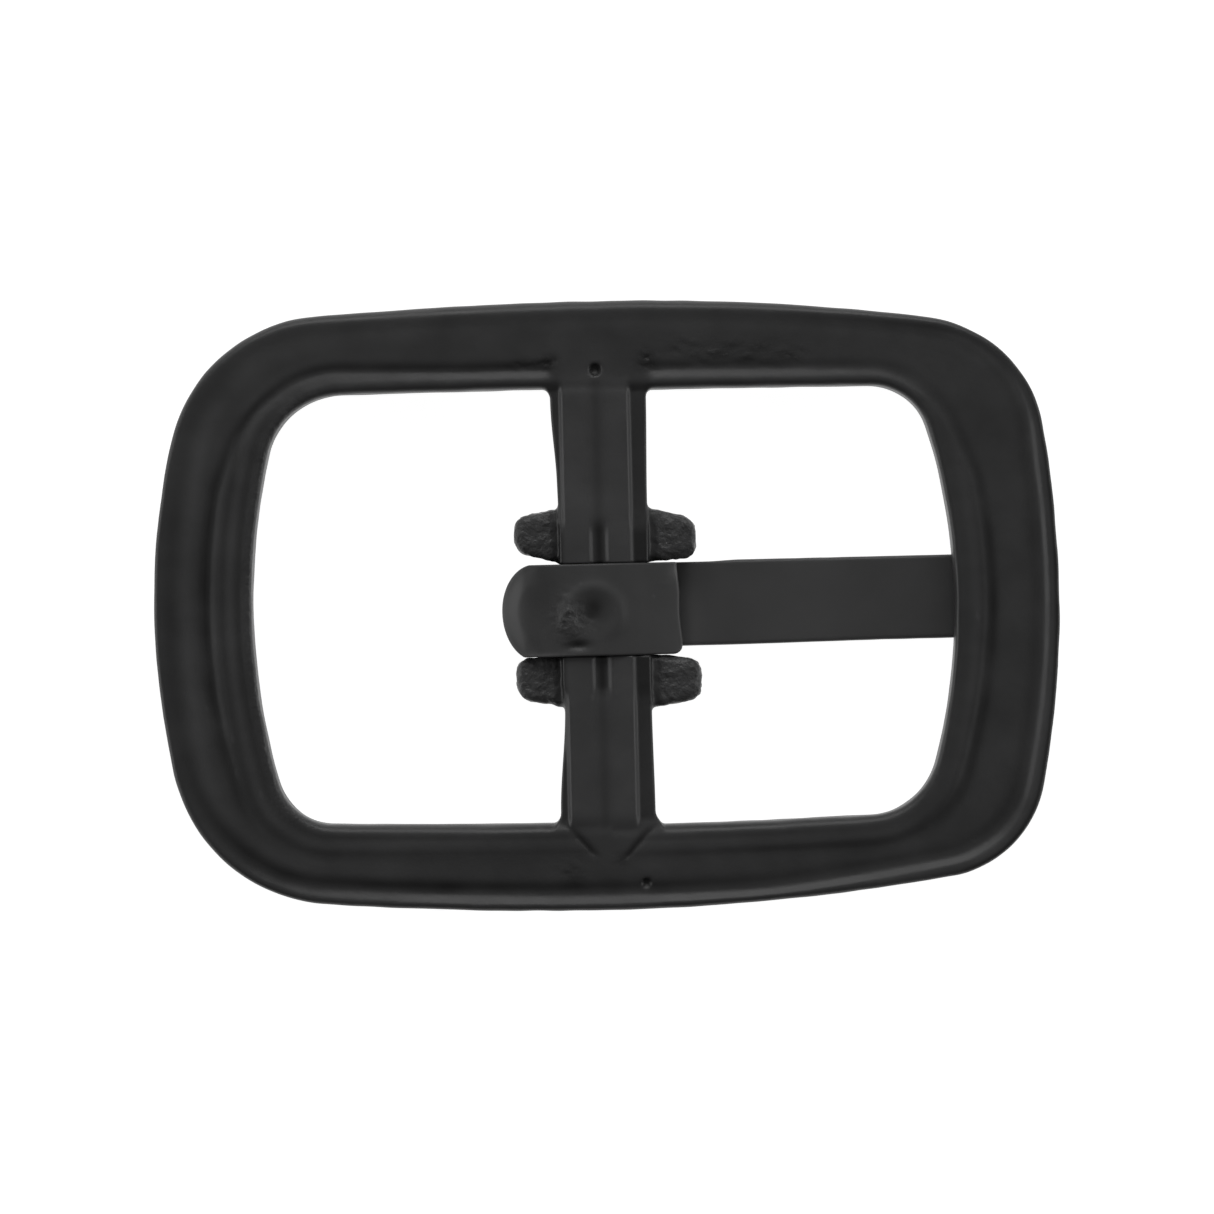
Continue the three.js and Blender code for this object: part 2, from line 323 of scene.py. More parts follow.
def rim_back(x, y, from_outer, from_window):
    """The height of the rim's back: an outer lip, a trough and an inner lip that the bar breaks.
    The left rail has no outer lip, its trough is domed, and fine lines run along its inner lip."""
    outer_foot = round_rim(x, y, OUTER_FOOT)
    outer = round_rim(x, y, OUTER_HEIGHT) * fall(from_outer, round_rim(x, y, OUTER_CREST), outer_foot)
    outer = outer - round_rim(x, y, OUTER_CREASE) * bump(from_outer, outer_foot + 0.3, 0.4)
    shoulder = 0.8 * np.maximum(1.0 - from_outer / SHOULDER, 0.0) ** 2
    outer = outer + round_rim(x, y, MOUND) * (bump(from_outer, MOUND_AT, MOUND_WIDTH) - shoulder)

    inner_foot = round_rim(x, y, INNER_FOOT)
    inner = round_rim(x, y, INNER_HEIGHT) * fall(from_window, round_rim(x, y, INNER_CREST), inner_foot)
    inner = inner - round_rim(x, y, INNER_CREASE) * bump(from_window, inner_foot + 0.12, 0.3)
    inner = inner - round_rim(x, y, LINE_DEPTH) * bands(from_window, LIP_LINES)

    # The lip ends at the bar: in slanted creases at the lower rail, and in soft ends at the upper one.
    beside_bar = np.maximum(BAR_LEFT - 0.3 - x, x - BAR_RIGHT - 0.1)
    across = slant(x, from_window)
    ends = np.where(y < 0, smoothstep(-0.1, 0.3, across), smoothstep(-0.4, 0.5, beside_bar))
    crease = SLANT_DEPTH * bump(across, 0.0, SLANT_WIDTH) * slant_share(y, from_window)
    return FLOOR + outer + inner * ends - crease


# Where the casting's skin is torn: a streaky patch in the upper rail's trough, a short run to the left of
# the bar's upper end, and spots at the bar's corners.
PATCH_START = 3.2
PATCH_END = 13.0
PATCH_FADE = 2.0
PATCH_Y = 15.0
PATCH_FALL = 0.04
PATCH_HALF = 0.7
FOOT_RUN_START = -7.0
FOOT_RUN_END = -2.5
FOOT_RUN_Y = 14.35
TORN_SPOTS = (
    (1.0, (2.7, 14.5), (0.6, 0.6)),
    (0.7, (-3.0, 14.5), (0.5, 0.5)),
    (0.5, (-2.4, -15.7), (0.8, 0.8)),
    (0.5, (0.6, -15.1), (0.5, 0.5)),
)


def rough_patch(x, y):
    """1 where the casting's skin is torn, 0 where it is whole."""
    streaks = 0.5 + 0.5 * np.sin(6.0 * y + 1.5 * np.sin(1.1 * x)) * np.sin(2.3 * x + 2.0 * y)
    middle = PATCH_Y - PATCH_FALL * (x - PATCH_START - 1.8)
    upper = smoothstep(PATCH_START, PATCH_START + PATCH_FADE, x) * bump(y, middle, PATCH_HALF)
    upper = upper * smoothstep(PATCH_END, PATCH_END - PATCH_FADE, x) * np.maximum(streaks, 0.3)
    run = smoothstep(FOOT_RUN_START, FOOT_RUN_START + 3.0, x)
    run = run * smoothstep(FOOT_RUN_END, FOOT_RUN_END - 0.7, x)
    left_foot = 0.6 * bump(y, FOOT_RUN_Y, 0.3) * run
    return clamp01(upper + left_foot + marks(x, y, TORN_SPOTS))


def bar_edges(y):
    """The bar's two sides. The left one flares towards the rails, and both spread where they meet them."""
    flare = BAR_FLARE * smoothstep(FLARE_START, BAR_FOOT, np.abs(y))
    spread = BAR_SPREAD * smoothstep(BAR_FOOT, WINDOW_SIDE + 0.5, np.abs(y))
    waist = 0.08 * smoothstep(-4.5, -6.0, y) - 0.06 * bump(y, 6.5, 1.5)
    return BAR_LEFT - flare - spread + waist, BAR_RIGHT + 0.2 * flare + spread


def by_loop(y):
    """1 where the bar meets the loop, 0 further along it."""
    return smoothstep(5.6, 4.4, np.abs(y - LOOP_CENTRE))


def bar_back(x, y):
    """The height of the bar's back: two crowns with a groove between them, and a ledge along each side."""
    sunk = BAR_BACK - FLOOR + 0.3
    level = BAR_BACK - sunk * smoothstep(BAR_FOOT, BAR_END, np.abs(y))
    near_loop = by_loop(y)
    end_fade = smoothstep(WINDOW_SIDE + 0.6, WINDOW_SIDE - 0.4, np.abs(y))
    left_step = LEDGE_DEPTH * smoothstep(CROWN_LEFT, LEDGE_LEFT, x) * (1.0 - near_loop)
    right_step = LEDGE_DEPTH * smoothstep(CROWN_RIGHT, LEDGE_RIGHT, x) * (1.0 - 0.4 * near_loop)
    hollow = smoothstep(GROOVE_LEFT, GROOVE_LEFT + 0.45, x)
    hollow = hollow * smoothstep(GROOVE_RIGHT, GROOVE_RIGHT - 0.42, x)
    groove = (GROOVE_SHALLOW + GROOVE_DEEPER * near_loop) * hollow
    return level - (left_step + right_step + groove) * end_fade


# Each lug: side along Y, end along X, near and far edges at its root and at its tip, reach, corner radius.
LUGS = (
    (1, -1, 2.52, 3.25, 5.8, 5.3, 5.38, 0.75),
    (1, 1, 2.52, 2.72, 5.75, 5.0, 5.38, 0.7),
    (-1, -1, 2.95, 3.05, 6.0, 5.45, 5.43, 0.85),
    (-1, 1, 2.95, 3.35, 6.15, 5.65, 5.54, 0.75),
)
LUG_ROOT = 2.5
LUG_HALF_HEIGHT = 0.85
LUG_MIDDLE = BAR_BACK - 0.5 - LUG_HALF_HEIGHT
LUG_ROUND = 0.45


def lug_field(x, y, z, lug):
    """A rough stub beside the bar, tapered towards its round end."""
    side, end, near_root, near_tip, far_root, far_tip, reach, radius = lug
    out = end * x
    t = clamp01((out - LUG_ROOT) / (reach - LUG_ROOT))
    near = near_root + (near_tip - near_root) * t
    far = far_root + (far_tip - far_root) * t
    band = np.abs(side * y - (near + far) / 2) - (far - near) / 2
    plan = np.maximum(overlap(out - reach, band, radius), -out)
    heights = np.abs(z - LUG_MIDDLE) - LUG_HALF_HEIGHT
    return overlap(plan, heights, LUG_ROUND)


# The notch in the front of the right rail, where the tongue's tip rests.
NOTCH_ROOM = 0.3
NOTCH_DEPTH = STRIP_FRONT + STRIP + 0.2
NOTCH_LOW = (REACH - 8.0, TONGUE_CENTRE - TONGUE_HALF - NOTCH_ROOM, -NOTCH_DEPTH)
NOTCH_HIGH = (REACH + 4.0, TONGUE_CENTRE + TONGUE_HALF + NOTCH_ROOM, NOTCH_DEPTH)
NOTCH_ROUND = 0.2

# Two round pits in the rim's back: centre and radius.
PITS = (((-0.35, 13.95), 0.38), ((2.0, -16.5), 0.3))


def frame_field(x, y, z):
    outer = outline_distance(x, y, OUTLINE_REACHES, OUTLINE_ARCS)
    window = outline_distance(x, y, WINDOW_REACHES, WINDOW_ARCS)
    cast = ripple(x, y, z, CAST_WAVES)
    fine = ripple(x, y, z, FLAT_WAVES)
    grain = ripple(x, y, z, GRAIN_WAVES)
    torn = rough_patch(x, y)
    back = rim_back(x, y, -outer, window) + 0.01 * fine - torn * (0.03 + 0.07 * np.maximum(grain, -0.3))
    unevenness = 0.02 * cast + 0.008 * fine
    outer_side = overlap(outer + unevenness, z - back, round_rim(x, y, OUTER_ROUND))
    window_side = overlap(unevenness - window, z - back, round_rim(x, y, WINDOW_ROUND))
    rim = np.maximum(outer_side, window_side)
    rim = overlap(rim, -z, FRONT_ROUND)

    left, right = bar_edges(y)
    width = np.maximum(left - x, x - right)
    bar = overlap(width, z - bar_back(x, y), 0.12)
    bar = overlap(bar, BAR_FRONT - z, 0.6)
    bar = np.maximum(bar, np.abs(y) - BAR_END)
    for lug in LUGS:
        bar = join(bar, lug_field(x, y, z, lug) + 0.05 * grain, 0.3)
    gap = np.maximum(y - GAP_TOP, GAP_BOTTOM - y)
    bar = overlap(bar, -gap, 0.05)
    neck = np.maximum(np.hypot(x - hinge_x, z - hinge_z) - NECK_RADIUS, gap - 0.8)
    body = np.minimum(join(rim, bar, 0.25), neck)

    body = overlap(body, -box_field(x, y, z, NOTCH_LOW, NOTCH_HIGH, NOTCH_ROUND), NOTCH_ROUND)
    for (pit_x, pit_y), radius in PITS:
        body = np.maximum(body, radius - np.sqrt((x - pit_x) ** 2 + (y - pit_y) ** 2 + (z - FLOOR) ** 2))
    return body


# ---------------------------------------------------------------- prong

def segment_distance(px, pz, a, b):
    ax, az = a
    dx, dz = b[0] - ax, b[1] - az
    t = clamp01(((px - ax) * dx + (pz - az) * dz) / (dx * dx + dz * dz))
    return np.hypot(px - ax - t * dx, pz - az - t * dz)


# Marks on the loop's back: the hammered hollow and its lower end, the dent at the lower edge, the low saddle
# and a raised scratch. Each has its height, its centre and its widths.
LOOP_MARKS = (
    (-0.2, (-0.8, -0.35), (0.7, 0.7)),
    (-0.1, (-1.0, -1.1), (0.75, 0.75)),
    (-0.2, (-1.75, -2.35), (0.7, 0.28)),
    (-0.09, (-3.7, 0.2), (0.7, 1.6)),
    (0.05, (3.6, 1.15), (0.5, 0.14)),
)
LOOP_LUMPS = ((0.1, (-2.4, -0.6), (0.35, 1.1)),)
LOOP_SCUFF = ((1.3, (-2.1, -0.9), (1.1, 1.1)),)

# The raised rim round the hollow, open towards the loop's lower edge.
RAISED_X = -0.75
RAISED_Y = -0.45
RAISED_RADIUS = 1.5
RAISED_WIDTH = 0.4
RAISED_HEIGHT = 0.1


def loop_relief(x, y):
    """Heights on the loop's back: a hammered hollow with a raised rim, lumps at its left and a low saddle."""
    grain = ripple(x, y, 0.0 * x, GRAIN_WAVES)
    radius = np.hypot(x - RAISED_X, y - RAISED_Y)
    angle = np.arctan2(y - RAISED_Y, x - RAISED_X)
    open_below = 1.0 - bump(angle, -1.6, 0.8)
    raised = RAISED_HEIGHT * bump(radius, RAISED_RADIUS, RAISED_WIDTH) * open_below
    lumps = marks(x, y, LOOP_LUMPS) * (1.0 + 0.6 * grain)
    scuffed = clamp01(marks(x, y, LOOP_SCUFF))
    return raised + lumps + marks(x, y, LOOP_MARKS) - LOOP_SUNK + 0.035 * scuffed * grain


TONGUE_DENT = ((0.02, (15.5, 0.0), (0.35, 0.35)),)
LEAF_CURVE = 1.6
CUT_SLANT = 0.12
END_ROUND = 2.0
CORNER_START = 3.9
CORNER_ROUND = 0.6
CORNER_Y = LOOP_LOWER + CORNER_ROUND


def prong_field(x, y, z):
    """The strip, its bend round the neck and the leaf that comes back over the neck to the cut end."""
    half = STRIP / 2
    rise = hinge_z - STRIP_FRONT - half
    strip_z = STRIP_FRONT + half
    leaf_z = hinge_z + rise
    fine = ripple(x, y, z, FLAT_WAVES)

    # Side view: distance from the middle line of the rolled part.
    stretch = (BEND_REACH - half) / rise
    around = np.abs(np.hypot((x - BEND_X) / stretch, z - hinge_z) - rise)
    lower = segment_distance(x, z, (BEND_X, strip_z), (hinge_x + 3.6, strip_z))
    cut = hinge_x + CUT_REACH - CUT_SLANT * (y - LOOP_CENTRE) / LOOP_HALF + 0.03 * np.sin(2.0 * y)
    t = clamp01((x - hinge_x) / CUT_REACH)
    drop = leaf_z - CUT_DROP * t**LEAF_CURVE
    slope = LEAF_CURVE * CUT_DROP * t ** (LEAF_CURVE - 1.0) / CUT_REACH
    leaf = overlap(np.abs(z - drop) / np.sqrt(1 + slope**2) - half, x - cut, 0.1)
    rolled = np.where(x < BEND_X, around - half, np.minimum(lower - half, leaf))
    on_back = smoothstep(hinge_z + 0.6, hinge_z + 1.4, z)
    rolled = rolled - on_back * loop_relief(x, y) + 0.006 * fine

    # Plan view: the bend's corners are rounded away.
    edge = np.abs(y - LOOP_CENTRE) - LOOP_HALF
    end_half = np.where(y > LOOP_CENTRE, LOOP_HALF + 0.04, LOOP_HALF + 0.2)
    end = np.hypot((x - (LOOP_LEFT + END_ROUND)) / END_ROUND, (y - LOOP_CENTRE) / end_half) - 1.0
    rolled = rolled + on_back * 0.16 * smoothstep(-0.5, -0.05, end) * smoothstep(-3.7, -4.7, x)
    edge = np.where(x < LOOP_LEFT + END_ROUND, np.maximum(edge, end * END_ROUND), edge)
    past_x, past_y = np.maximum(x - CORNER_START, 0.0), np.maximum(CORNER_Y - y, 0.0)
    corner = np.hypot(past_x, past_y) - CORNER_ROUND
    edge = np.where((past_x > 0) & (past_y > 0), np.maximum(edge, corner), edge)
    loop = overlap(rolled, edge, 0.1)

    # Tongue: a flat strip with a round tip.
    tip = TONGUE_TIP - TONGUE_HALF
    across = y - TONGUE_CENTRE
    side = np.abs(across) - TONGUE_HALF - 0.1 * smoothstep(18.0, 6.0, x) * (across < 0)
    plan = np.where(x > tip, np.hypot(x - tip, across) - TONGUE_HALF, side)
    plan = np.maximum(plan, hinge_x - x)
    tongue = overlap(plan, np.abs(z - strip_z) - half, TONGUE_ROUND)
    tongue = tongue + marks(x, y, TONGUE_DENT)
    past_side = np.abs(y - LOOP_CENTRE) - LOOP_HALF - 0.08 * smoothstep(6.0, 8.0, x)
    return np.maximum(join(loop, tongue + 0.006 * fine, 0.15), past_side)


# ---------------------------------------------------------------- tone

# Painted highlights and painted shade in lines along the rails: strength, distance and width. Those of the
# left rail's inner lip are measured from the window, and those of its mound from the outline.
LEFT_LIP_LIGHT_AND_SHADE = (
    (0.35, 2.2, 0.2),
    (0.35, 1.3, 0.28),
    (0.14, 0.2, 0.2),
    (-0.245, 1.75, 0.18),
    (-0.385, 0.82, 0.22),
)
MOUND_LIGHT_AND_SHADE = ((0.55, MOUND_AT, 0.5), (-0.3, 0.9, 0.5))
RIGHT_OUTER_HIGHLIGHT = ((0.5, 0.7, 0.3),)
RIGHT_INNER_HIGHLIGHT = ((0.35, 1.15, 0.35),)
RIGHT_RAIL_START = 19.5

BAR_TONE = 0.75
GROOVE_MIDDLE = -0.35
LUG_TONE = 1.35


def frame_tone(x, y, z):
    """How pale the frame's enamel is, with light and shade painted in: paler on the bar's crowns, painted
    highlights on the lips and painted shade in the creases.
    """
    from_outer = -outline_distance(x, y, OUTLINE_REACHES, OUTLINE_ARCS)
    from_window = outline_distance(x, y, WINDOW_REACHES, WINDOW_ARCS)
    blotch = 0.75 + 0.25 * ripple(x, y, z, CAST_WAVES)
    beside_bar = smoothstep(0.0, 0.6, np.maximum(BAR_LEFT - x, x - BAR_RIGHT))
    # Painted shade in the creases at the feet of the outer and inner lips, and along the slanted creases at
    # the bar's lower end.
    outer = round_rim(x, y, OUTER_SHADE) * bump(from_outer, round_rim(x, y, OUTER_FOOT) + 0.35, 0.42)
    inner = round_rim(x, y, INNER_SHADE) * bump(from_window, round_rim(x, y, INNER_FOOT) + 0.25, 0.34)
    creases = blotch * np.maximum(outer, inner * beside_bar)
    creases = creases + 0.7 * bump(slant(x, from_window), 0.0, 0.3) * slant_share(y, from_window)

    # The left rail: painted highlight and shade on its mound and along its fine lines. The right rail:
    # painted highlights on its two lips and painted shade along its outer edge.
    left = round_rim(x, y, MOUND) / max(MOUND)
    mound = bands(from_window, LEFT_LIP_LIGHT_AND_SHADE) + bands(from_outer, MOUND_LIGHT_AND_SHADE)
    right = smoothstep(RIGHT_RAIL_START, RIGHT_RAIL_START + 2.5, x)
    lips = bands(from_outer, RIGHT_OUTER_HIGHLIGHT) + bands(from_window, RIGHT_INNER_HIGHLIGHT)
    lips = lips - 0.9 * smoothstep(0.4, 0.1, from_outer)
    rim = 1.0 + left * mound + right * lips - creases - 0.7 * rough_patch(x, y)

    on_crown = smoothstep(BAR_LEFT, CROWN_LEFT, x) * smoothstep(CROWN_RIGHT + 0.4, CROWN_RIGHT, x)
    # Painted shade in the groove, darkest where the loop overhangs it, and painted shade on the ledges beside
    # the loop.
    groove = (0.35 + 0.65 * by_loop(y)) * bump(x, GROOVE_MIDDLE, 0.32)
    corner = 0.5 * by_loop(y) * np.maximum(
        smoothstep(CROWN_RIGHT, 1.9, x) * smoothstep(2.9, 2.4, x), bump(x, -2.9, 0.3)
    )
    bar = BAR_TONE * (1.0 + on_crown) - 1.4 * groove - corner
    on_bar = smoothstep(WINDOW_SIDE + 1.2, BAR_FOOT, np.abs(y)) * smoothstep(3.4, 2.8, np.abs(x))
    tone = rim + (bar - rim) * on_bar
    return tone + (LUG_TONE - tone) * on_lug(x, y)


def on_lug(x, y):
    """1 on the lugs, 0 elsewhere."""
    return smoothstep(2.8, 3.3, np.abs(x)) * smoothstep(6.4, 6.1, np.abs(y)) * (np.abs(x) < 6.0)


def frame_torn(x, y, z):
    """How rough the frame's skin is: the lugs, the edge of the left window and the torn places."""
    window_edge = outline_distance(x, y, WINDOW_REACHES, WINDOW_ARCS)
    left_edge = 0.5 * smoothstep(0.7, 0.2, window_edge) * smoothstep(-16.0, -19.0, x)
    return np.maximum(np.maximum(on_lug(x, y), left_edge), 0.6 * rough_patch(x, y))


# Painted shade in the hollow, in the dent and on the saddle, a paler line along the lower edge and a painted
# highlight on the cut end's top.
LOOP_TONES = (
    (-0.75, (-0.8, -0.35), (0.85, 0.85)),
    (-0.9, (-1.75, -2.35), (0.7, 0.28)),
    (-0.25, (-3.8, 0.2), (0.9, 2.2)),
    (1.2, (-3.6, LOOP_LOWER + 0.05), (1.3, 0.16)),
    (1.2, (4.25, 1.9), (0.45, 0.45)),
)
LOOP_TORN = ((1.2, (-2.2, -0.9), (1.0, 1.0)),)


def prong_tone(x, y, z):
    """How pale the strip's enamel is: painted shade and a painted highlight on the loop's back, paler along
    the tongue, with painted light just past the cut end where the loop shades the tongue.
    """
    back = smoothstep(hinge_z, hinge_z + 1.0, z)
    # Painted light just past the cut end lifts the loop's shadow on the tongue.
    tongue = 0.22 * smoothstep(4.6, 5.2, x) + 0.35 * bump(x, 5.1, 0.6)
    return 1.0 + back * marks(x, y, LOOP_TONES) + (1.0 - back) * tongue


def prong_torn(x, y, z):
    """How rough the strip's skin is: scuffed beside the hollow."""
    on_back = smoothstep(hinge_z + 0.8, hinge_z + 1.2, z)
    return on_back * clamp01(marks(x, y, LOOP_TORN))


# ---------------------------------------------------------------- mesher

def grid_line(stops):
    """Grid positions from (start, end, spacing) runs that follow each other."""
    pieces = [np.arange(a, b, step) for a, b, step in stops]
    return np.concatenate([*pieces, [stops[-1][1]]])


def surface_mesh(field, xs, ys, zs):
    """Quads on the field's zero surface: one vertex in each grid cell that it crosses."""
    shape = (len(xs), len(ys), len(zs))
    values = field(xs[:, None, None], ys[None, :, None], zs[None, None, :]) + np.zeros(shape)
    inside = values < 0
    cells = tuple(n - 1 for n in values.shape)
    total = np.zeros((*cells, 3))
    count = np.zeros(cells)
    lines = (xs, ys, zs)
    for axis in range(3):
        low = [slice(None)] * 3
        high = [slice(None)] * 3
        low[axis] = slice(None, -1)
        high[axis] = slice(1, None)
        a, b = values[tuple(low)], values[tuple(high)]
        crossing = inside[tuple(low)] != inside[tuple(high)]
        where = np.nonzero(crossing)
        share = a[where] / (a[where] - b[where])
        points = np.stack([lines[k][where[k]] for k in range(3)], axis=1).astype(float)
        step = np.diff(lines[axis])[where[axis]]
        points[:, axis] += share * step
        others = [k for k in range(3) if k != axis]
        for first in (0, 1):
            for second in (0, 1):
                cell = [w.copy() for w in where]
                cell[others[0]] -= first
                cell[others[1]] -= second
                valid = np.ones(len(share), bool)
                for k in others:
                    valid &= (cell[k] >= 0) & (cell[k] < cells[k])
                index = tuple(c[valid] for c in cell)
                np.add.at(total, index, points[valid])
                np.add.at(count, index, 1.0)
    used = count > 0
    vertices = total[used] / count[used][:, None]
    number = np.full(cells, -1)
    number[used] = np.arange(len(vertices))
    quads = []
    for axis in range(3):
        low = [slice(None)] * 3
        high = [slice(None)] * 3
        low[axis] = slice(None, -1)
        high[axis] = slice(1, None)
        near, far = inside[tuple(low)], inside[tuple(high)]
        first, second = (axis + 1) % 3, (axis + 2) % 3
        where = np.nonzero(near != far)
        corners = []
        for da, db in ((1, 1), (0, 1), (0, 0), (1, 0)):
            cell = list(where)
            cell[first] = where[first] - da
            cell[second] = where[second] - db
            corners.append(number[tuple(cell)])
        quad = np.stack(corners, axis=1)
        leaving = near[where]
        quad[~leaving] = quad[~leaving][:, ::-1]
        quads.append(quad)
    return vertices, np.concatenate(quads)


SETTLE_ROUNDS = 3
SETTLE_STEP = 0.01
SETTLE_SHARE = 0.8
SETTLE_REACH = 0.7
LEAST_SLOPE = 0.2


def settle(field, vertices, spacing):
    """Moves the vertices onto the zero surface along the field's slope."""
    start = vertices.copy()
    step = SETTLE_STEP
    for _ in range(SETTLE_ROUNDS):
        x, y, z = vertices.T
        value = field(x, y, z)
        slope = np.stack(
            [
                (field(x + step, y, z) - field(x - step, y, z)) / (2 * step),
                (field(x, y + step, z) - field(x, y - step, z)) / (2 * step),
                (field(x, y, z + step) - field(x, y, z - step)) / (2 * step),
            ],
            axis=1,
        )
        size = np.maximum((slope**2).sum(axis=1), LEAST_SLOPE)
        vertices = vertices - slope * (value / size)[:, None] * SETTLE_SHARE
        vertices = start + np.clip(vertices - start, -SETTLE_REACH * spacing, SETTLE_REACH * spacing)
    return vertices


def even_out(vertices, quads):
    """Moves each vertex halfway to the middle of its neighbours."""
    total = np.zeros_like(vertices)
    count = np.zeros(len(vertices))
    for k in range(4):
        a, b = quads[:, k], quads[:, (k + 1) % 4]
        for here, there in ((a, b), (b, a)):
            np.add.at(total, here, vertices[there])
            np.add.at(count, here, 1.0)
    return (vertices + total / count[:, None]) / 2


def store(mesh, name, values):
    """Keeps a number for each vertex, which the materials read by name."""
    layer = mesh.attributes.new(name, "FLOAT", "POINT")
    layer.data.foreach_set("value", values.astype(np.float32))


def make_piece(name, field, tone, torn, xs, ys, zs, spacing):
    """Meshes a field on a grid and stores its tone and roughness."""
    vertices, quads = surface_mesh(field, xs, ys, zs)
    vertices = settle(field, even_out(settle(field, vertices, spacing), quads), spacing)
    mesh = bpy.data.meshes.new(name)
    mesh.from_pydata((vertices * MM).tolist(), [], quads.tolist())
    mesh.polygons.foreach_set("use_smooth", np.ones(len(quads), bool))
    mesh.update()
    store(mesh, "tone", np.clip(tone(*vertices.T), 0.1, 2.5))
    store(mesh, "torn", clamp01(torn(*vertices.T)))
    piece = bpy.data.objects.new(name, mesh)
    bpy.context.scene.collection.objects.link(piece)
    print(name, len(vertices), "vertices", len(quads), "quads")
    return piece


# ---------------------------------------------------------------- materials

BLOTCH_SCALE = 260.0
PIT_SCALE = 2600.0
PIT_HEIGHT = 0.25 * MM
RUBBED = 2.2


def satin_black(name, colour, unevenness, roughness, grain_scale, grain_height):
    """Baked black enamel over metal: uneven gloss, a fine skin and paler rubbed edges."""
    material = bpy.data.materials.new(name)
    material.use_nodes = True
    nodes = material.node_tree.nodes
    links = material.node_tree.links
    shader = nodes["Principled BSDF"]
    shader.inputs["Specular IOR Level"].default_value = 0.5
    shader.inputs["Metallic"].default_value = 0.0

    place = nodes.new("ShaderNodeTexCoord")
    blotch = nodes.new("ShaderNodeTexNoise")
    blotch.inputs["Scale"].default_value = BLOTCH_SCALE
    blotch.inputs["Detail"].default_value = 3.0
    links.new(place.outputs["Object"], blotch.inputs["Vector"])

    tone = nodes.new("ShaderNodeValToRGB")
    tone.color_ramp.elements[0].position = 0.3
    tone.color_ramp.elements[0].color = (*[c * (1.0 - unevenness) for c in colour], 1.0)
    tone.color_ramp.elements[1].position = 0.75
    tone.color_ramp.elements[1].color = (*[c * (1.0 + unevenness) for c in colour], 1.0)
    links.new(blotch.outputs["Fac"], tone.inputs["Fac"])

    geometry = nodes.new("ShaderNodeNewGeometry")
    worn = nodes.new("ShaderNodeMapRange")
    worn.inputs["From Min"].default_value = 0.54
    worn.inputs["From Max"].default_value = 0.68
    worn.inputs["To Max"].default_value = 0.25
    links.new(geometry.outputs["Pointiness"], worn.inputs["Value"])
    rub = nodes.new("ShaderNodeMix")
    rub.data_type = "RGBA"
    rub.inputs["B"].default_value = (*[c * RUBBED for c in colour], 1.0)
    links.new(worn.outputs["Result"], rub.inputs["Factor"])
    links.new(tone.outputs["Color"], rub.inputs["A"])

    tone_value = nodes.new("ShaderNodeAttribute")
    tone_value.attribute_name = "tone"
    toned = nodes.new("ShaderNodeVectorMath")
    toned.operation = "SCALE"
    links.new(rub.outputs["Result"], toned.inputs[0])
    links.new(tone_value.outputs["Fac"], toned.inputs["Scale"])
    links.new(toned.outputs["Vector"], shader.inputs["Base Color"])

    gloss = nodes.new("ShaderNodeMapRange")
    gloss.inputs["From Min"].default_value = 0.25
    gloss.inputs["From Max"].default_value = 0.75
    gloss.inputs["To Min"].default_value = roughness - 0.05
    gloss.inputs["To Max"].default_value = roughness + 0.07
    links.new(blotch.outputs["Fac"], gloss.inputs["Value"])
    links.new(gloss.outputs["Result"], shader.inputs["Roughness"])

    skin = nodes.new("ShaderNodeTexNoise")
    skin.inputs["Scale"].default_value = grain_scale
    skin.inputs["Detail"].default_value = 4.0
    links.new(place.outputs["Object"], skin.inputs["Vector"])
    bumps = nodes.new("ShaderNodeBump")
    bumps.inputs["Strength"].default_value = 0.35
    bumps.inputs["Distance"].default_value = grain_height
    links.new(skin.outputs["Fac"], bumps.inputs["Height"])

    torn_value = nodes.new("ShaderNodeAttribute")
    torn_value.attribute_name = "torn"
    pits = nodes.new("ShaderNodeTexNoise")
    pits.inputs["Scale"].default_value = PIT_SCALE
    pits.inputs["Detail"].default_value = 2.0
    links.new(place.outputs["Object"], pits.inputs["Vector"])
    pit_depth = nodes.new("ShaderNodeMath")
    pit_depth.operation = "MULTIPLY"
    links.new(torn_value.outputs["Fac"], pit_depth.inputs[0])
    links.new(pits.outputs["Fac"], pit_depth.inputs[1])
    roughened = nodes.new("ShaderNodeBump")
    roughened.inputs["Strength"].default_value = 0.7
    roughened.inputs["Distance"].default_value = PIT_HEIGHT
    links.new(pit_depth.outputs["Value"], roughened.inputs["Height"])
    links.new(bumps.outputs["Normal"], roughened.inputs["Normal"])
    links.new(roughened.outputs["Normal"], shader.inputs["Normal"])
    return material


# ---------------------------------------------------------------- studio

def add_camera():
    """Straight above the buckle, turned a little, with a long lens."""
    lens, sensor = 150.0, 36.0
    seen_width = 72.06 * MM
    turn = math.radians(-1.35)
    height = 0.65 * RIM_TOP * MM + seen_width * lens / sensor
    data = bpy.data.cameras.new("camera")
    data.lens = lens
    data.sensor_width = sensor
    data.clip_start = 0.01
    data.clip_end = 10.0
    camera = bpy.data.objects.new("camera", data)
    camera.location = (0.03 * MM, -0.12 * MM, height)
    camera.rotation_euler = (0.0, 0.0, turn)
    bpy.context.scene.collection.objects.link(camera)
    bpy.context.scene.camera = camera


